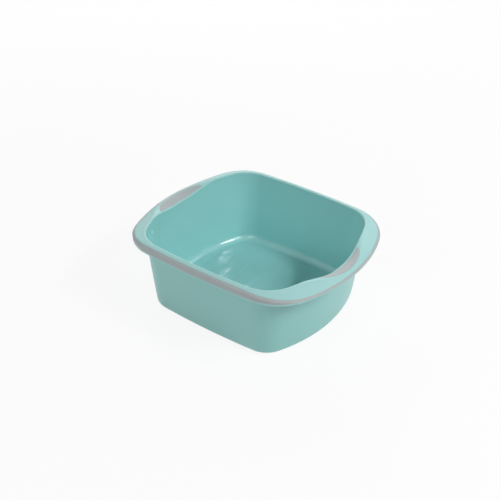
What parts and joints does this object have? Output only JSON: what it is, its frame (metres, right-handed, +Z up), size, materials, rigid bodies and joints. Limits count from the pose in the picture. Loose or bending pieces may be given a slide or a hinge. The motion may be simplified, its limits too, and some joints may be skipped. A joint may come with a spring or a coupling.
{
  "type": "washing up bowl",
  "caption": "Rounded rectangular washing up bowl with a soft band round its turned-down rim and a soft grip pad in each end handle, where the rim dips and widens.",
  "frame": {"origin": "middle of the footprint, on the surface that the bowl stands on", "axes": "+X along the length, from one handle to the other, +Y across the width, +Z up"},
  "size_m": [0.38, 0.3114, 0.134],
  "materials": {
    "shell": "satin moulded plastic outside, polished inside",
    "soft_band": "matt soft-touch",
    "soft_pad": "matt soft-touch, fine grain"
  },
  "bodies": {
    "root": {"bowl": "shell", "rim_band": "soft_band", "grip_pad_left": "soft_pad", "grip_pad_right": "soft_pad"}
  },
  "joints": []
}
